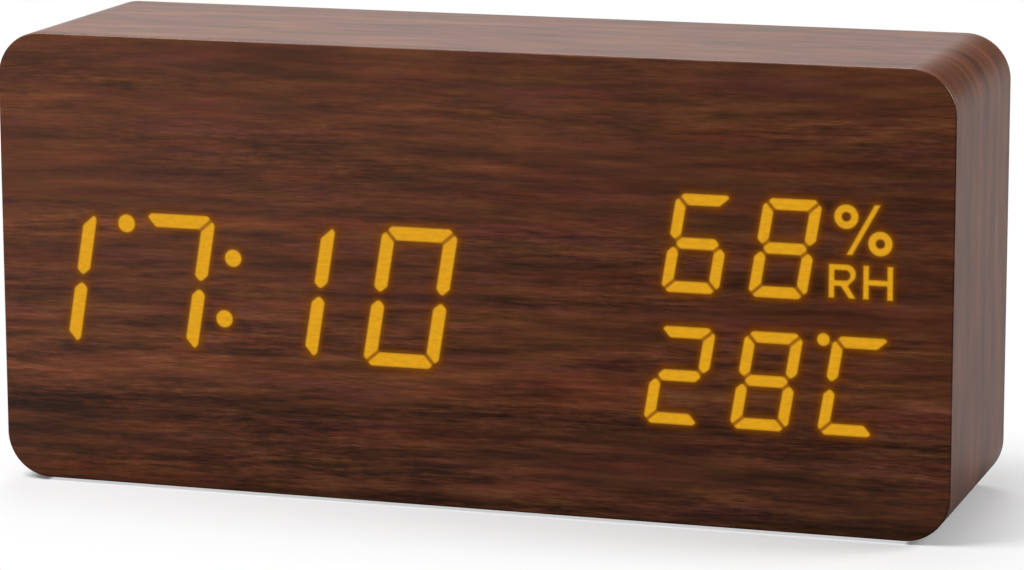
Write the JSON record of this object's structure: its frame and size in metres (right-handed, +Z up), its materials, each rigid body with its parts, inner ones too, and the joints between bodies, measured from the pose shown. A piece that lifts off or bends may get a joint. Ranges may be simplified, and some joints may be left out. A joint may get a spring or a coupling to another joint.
{
  "type": "digital alarm clock",
  "caption": "Wooden block LED alarm clock showing time, humidity and temperature, with a rear cover, push buttons and a hinged battery door.",
  "frame": {"origin": "under the middle of the clock, on the surface that its foot pads stand on", "axes": "+X to the right seen from the front, -Y towards the reader, +Z up"},
  "size_m": [0.15, 0.04, 0.0705],
  "materials": {
    "walnut_veneer": "satin printed walnut veneer",
    "fibreboard": "raw medium-density fibreboard",
    "black_plastic": "finely textured black plastic",
    "button_plastic": "satin black plastic",
    "foot_rubber": "matte rubber",
    "white_plastic": "matte white plastic",
    "lit_segment": "amber light guide, lit from behind",
    "circuit_board": "green solder mask",
    "chip_plastic": "moulded black epoxy",
    "steel": "plated steel",
    "cell_wrap": "plain shrink wrap",
    "lead_red": "red insulation",
    "lead_black": "black insulation",
    "ribbon_grey": "grey ribbon insulation"
  },
  "bodies": {
    "clock": {"case_core": "fibreboard", "case_wrap": "walnut_veneer", "front_veneer": "walnut_veneer", "foot_pad_1": "foot_rubber", "foot_pad_2": "foot_rubber", "foot_pad_3": "foot_rubber", "foot_pad_4": "foot_rubber", "time_reflector": "white_plastic", "climate_reflector": "white_plastic", "hour_tens_guide": "lit_segment", "hour_units_guide": "lit_segment", "minute_tens_guide": "lit_segment", "minute_units_guide": "lit_segment", "colon_guide": "lit_segment", "hour_dot_guide": "lit_segment", "humidity_tens_guide": "lit_segment", "humidity_units_guide": "lit_segment", "humidity_unit_sign_guide": "lit_segment", "temperature_tens_guide": "lit_segment", "temperature_units_guide": "lit_segment", "temperature_unit_sign_guide": "lit_segment", "display_board": "circuit_board", "board_screw_1": "steel", "board_screw_2": "steel", "board_screw_3": "steel", "microcontroller": "chip_plastic", "led_driver": "chip_plastic", "clock_crystal": "steel", "sounder": "chip_plastic", "coin_cell_holder": "black_plastic", "coin_cell": "steel", "rear_cover": "black_plastic", "cover_screw_1": "steel", "cover_screw_2": "steel", "cover_screw_3": "steel", "cover_screw_4": "steel", "battery_1": "cell_wrap", "battery_2": "cell_wrap", "battery_3": "cell_wrap", "battery_contact_negative": "steel", "battery_contact_positive": "steel", "battery_link_left": "steel", "battery_link_right": "steel", "set_switch": "chip_plastic", "up_switch": "chip_plastic", "down_switch": "chip_plastic", "button_board": "circuit_board", "humidity_sensor": "white_plastic", "power_jack": "black_plastic", "battery_lead_negative": "lead_black", "battery_lead_positive": "lead_red", "power_lead": "lead_black", "button_ribbon": "ribbon_grey"},
    "set_key": {"set_button": "button_plastic", "set_plunger": "white_plastic"},
    "up_key": {"up_button": "button_plastic", "up_plunger": "white_plastic"},
    "down_key": {"down_button": "button_plastic", "down_plunger": "white_plastic"},
    "door": {"battery_door": "black_plastic"}
  },
  "joints": [
    {"name": "set_button_press", "type": "slide", "parent": "clock", "child": "set_key", "axis": [0, -1, 0], "range_m": [0, 0.0005], "stiffness_N_per_m": 400, "springref_m": -0.0005},
    {"name": "up_button_press", "type": "slide", "parent": "clock", "child": "up_key", "axis": [0, -1, 0], "range_m": [0, 0.0005], "stiffness_N_per_m": 400, "springref_m": -0.0005},
    {"name": "down_button_press", "type": "slide", "parent": "clock", "child": "down_key", "axis": [0, -1, 0], "range_m": [0, 0.0005], "stiffness_N_per_m": 400, "springref_m": -0.0005},
    {"name": "battery_door_hinge", "type": "hinge", "parent": "clock", "child": "door", "pos_m": [-0.03197, 0.0174, 0.01995], "axis": [-1, 0, 0], "range_deg": [0, 90]}
  ]
}
